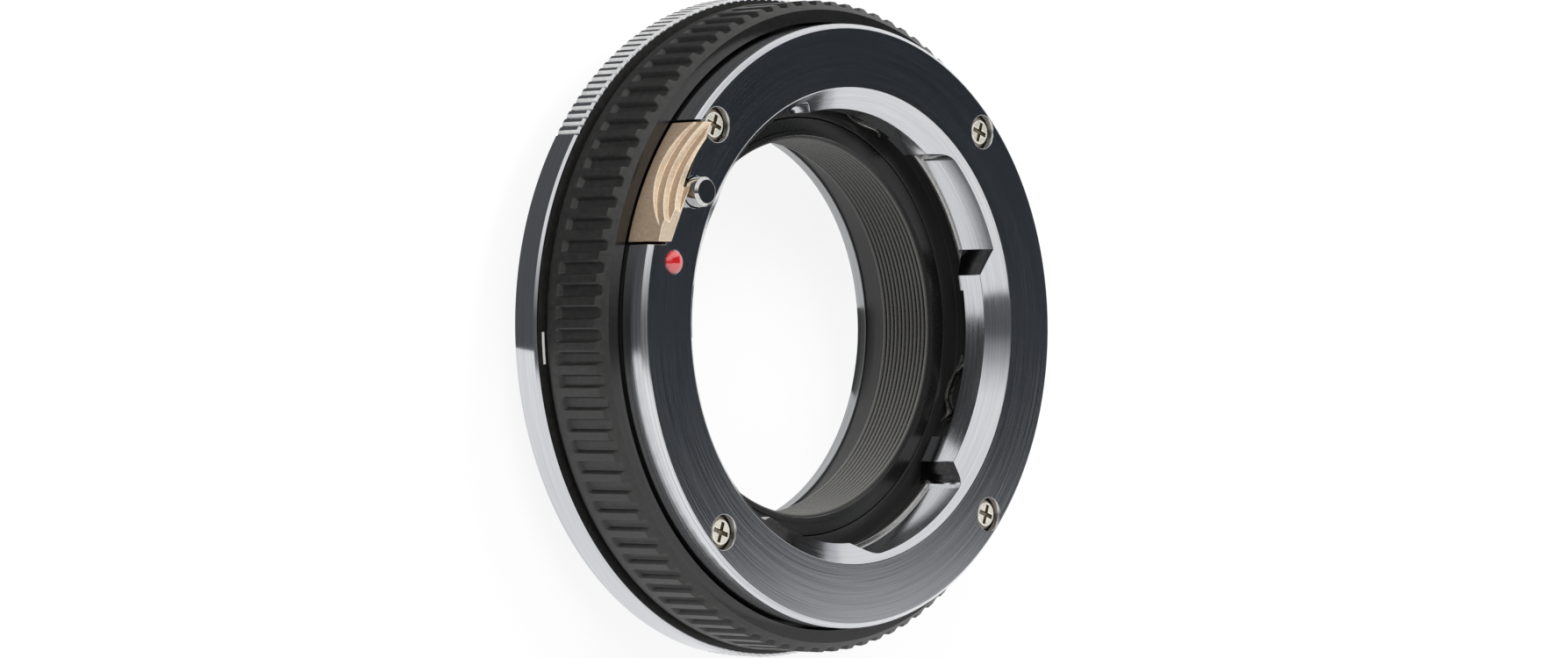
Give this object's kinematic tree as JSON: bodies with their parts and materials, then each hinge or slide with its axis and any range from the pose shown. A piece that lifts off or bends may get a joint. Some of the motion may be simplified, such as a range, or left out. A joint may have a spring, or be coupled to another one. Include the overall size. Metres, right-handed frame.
{
  "type": "lens mount adapter",
  "caption": "Lens mount adapter with a close-focus helicoid: female bayonet with release button in front, grooved focusing ring, chromed rear ring and male bayonet behind.",
  "frame": {"origin": "on the optical axis, at the rear rim of the camera bayonet", "axes": "+Z along the optical axis towards the lens; +X to the right and +Y up as seen from the lens side"},
  "size_m": [0.0622, 0.0622, 0.0189],
  "materials": {
    "chromed_metal": "satin and polished chrome",
    "black_metal": "black anodised",
    "black_brass": "black, greased",
    "plain_brass": "rolled",
    "screw_steel": "nickel plated",
    "pin_steel": "turned",
    "spring_steel": "rolled",
    "bronze": "satin anodised bronze colour",
    "red_enamel": "glossy",
    "white_paint": "filled engraving"
  },
  "bodies": {
    "rear_body": {"rear_grip_ring": "chromed_metal", "camera_mount_plate": "chromed_metal", "camera_mount_screws": "screw_steel", "rear_light_baffle": "black_metal", "sleeve_keeper_ring": "black_metal", "index_mark": "white_paint", "upper_slip_washer": "plain_brass", "lower_slip_washer": "plain_brass", "focus_stop_pin": "pin_steel", "guide_key_1": "pin_steel", "guide_key_2": "pin_steel", "guide_key_3": "pin_steel", "guide_key_screws": "screw_steel"},
    "focus_ring": {"focus_grip_ring": "black_metal", "helicoid_sleeve": "black_brass", "grip_set_screws": "screw_steel"},
    "lens_side": {"lens_mount_plate": "chromed_metal", "mount_screws": "screw_steel", "bayonet_spring": "spring_steel", "index_bead": "red_enamel", "lens_barrel": "black_metal", "ridged_light_tube": "black_metal", "release_spring": "spring_steel"},
    "release": {"release_button": "bronze", "lock_pin": "pin_steel"}
  },
  "joints": [
    {"name": "focus_turn", "type": "hinge", "parent": "rear_body", "child": "focus_ring", "pos_m": [0, 0, 0.0109], "axis": [0, 0, 1], "range_deg": [-109.5, 10.5]},
    {"name": "focus_slide", "type": "slide", "parent": "rear_body", "child": "lens_side", "axis": [0, 0, 1], "range_m": [-0.00365, 0.00036]},
    {"name": "release_press", "type": "slide", "parent": "lens_side", "child": "release", "axis": [0, 0, -1], "range_m": [0, 0.0015], "stiffness_N_per_m": 300, "springref_m": -0.002, "deforming": ["release_spring"]}
  ],
  "couplings": [
    {"joint": "focus_slide", "follows": "focus_turn", "m_per_rad": 0.0019099}
  ]
}
